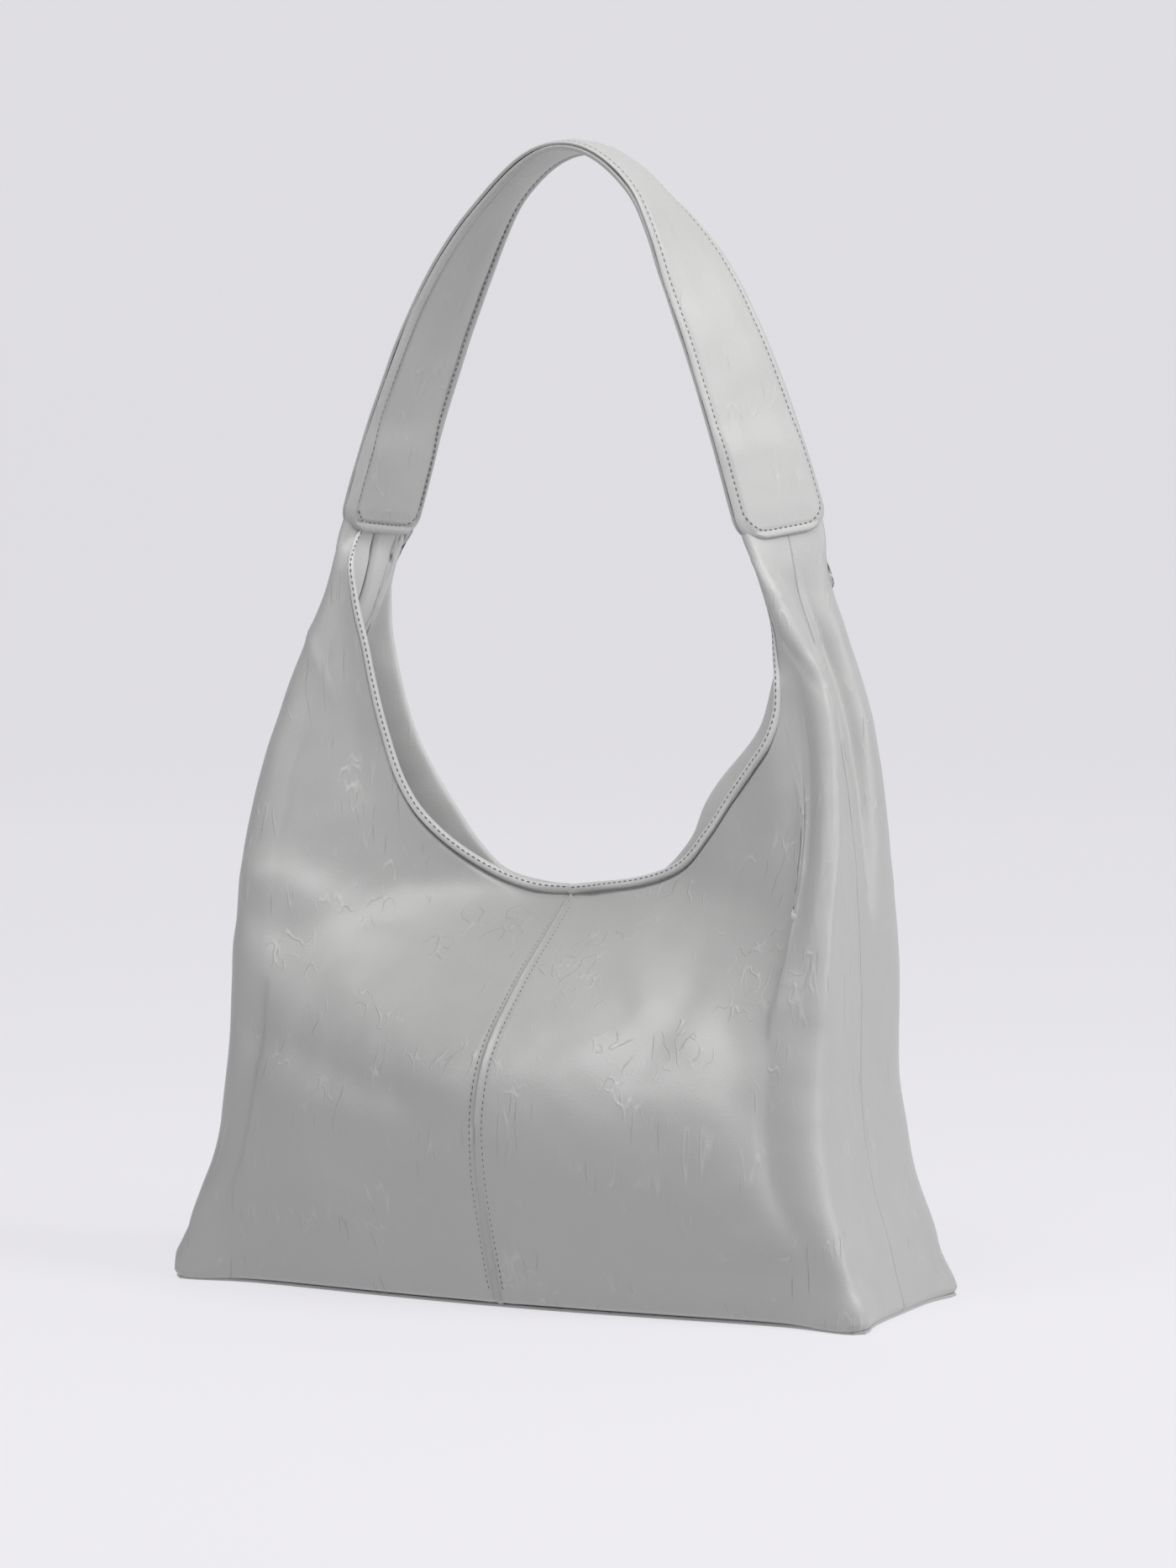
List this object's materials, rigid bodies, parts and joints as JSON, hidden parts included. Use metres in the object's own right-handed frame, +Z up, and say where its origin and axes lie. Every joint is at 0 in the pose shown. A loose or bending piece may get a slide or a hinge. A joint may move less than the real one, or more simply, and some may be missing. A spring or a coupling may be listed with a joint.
{
  "type": "hobo bag",
  "caption": "Soft leather hobo bag with a curved open mouth, two raised ears, one wide shoulder strap, a fabric lining and a zipped inner pocket.",
  "frame": {"origin": "middle of the flat base, on the surface the bag stands on", "axes": "+X along the bag's length, -Y is the front, +Z is up"},
  "size_m": [0.3568, 0.1679, 0.5489],
  "materials": {
    "leather": "glazed, crinkled, pale grey",
    "facing_leather": "glazed, pale grey",
    "lining_cloth": "plain weave",
    "board": "pressed fibre board",
    "strap_filler": "felted filler",
    "zip_tape": "woven tape",
    "zip_coil": "nylon coil",
    "metal": "polished nickel"
  },
  "bodies": {
    "bag": {"front_panel_left": "leather", "front_panel_right": "leather", "back_panel_left": "leather", "back_panel_right": "leather", "base_panel": "leather", "base_board": "board", "lining_base": "lining_cloth", "front_facing": "facing_leather", "back_facing": "facing_leather", "lining_front": "lining_cloth", "lining_back": "lining_cloth", "slip_pocket": "lining_cloth", "zip_pocket_bag": "lining_cloth", "zip_tape_upper": "zip_tape", "zip_tape_lower": "zip_tape", "zip_chain_upper": "zip_coil", "zip_chain_lower": "zip_coil", "zip_stop_open": "metal", "zip_stop_closed": "metal", "snap_stud": "metal", "snap_socket": "metal", "snap_washer_front": "metal", "snap_washer_back": "metal"},
    "strap": {"strap_outer": "leather", "strap_underside": "facing_leather", "strap_core": "strap_filler", "left_ear_end": "facing_leather", "right_ear_end": "facing_leather"},
    "slider": {"zip_slider": "metal"},
    "pull": {"zip_pull": "metal"}
  },
  "joints": [
    {"name": "strap_swing", "type": "hinge", "parent": "bag", "child": "strap", "pos_m": [0, 0.017, 0.38688], "axis": [1, 0, 0], "range_deg": [-100, 100]},
    {"name": "zip_run", "type": "slide", "parent": "bag", "child": "slider", "axis": [-1, 0, 0], "range_m": [0, 0.115]},
    {"name": "pull_flip", "type": "hinge", "parent": "slider", "child": "pull", "pos_m": [0.0575, 0.06573, 0.092], "axis": [0, 0, 1], "range_deg": [0, 156]}
  ]
}
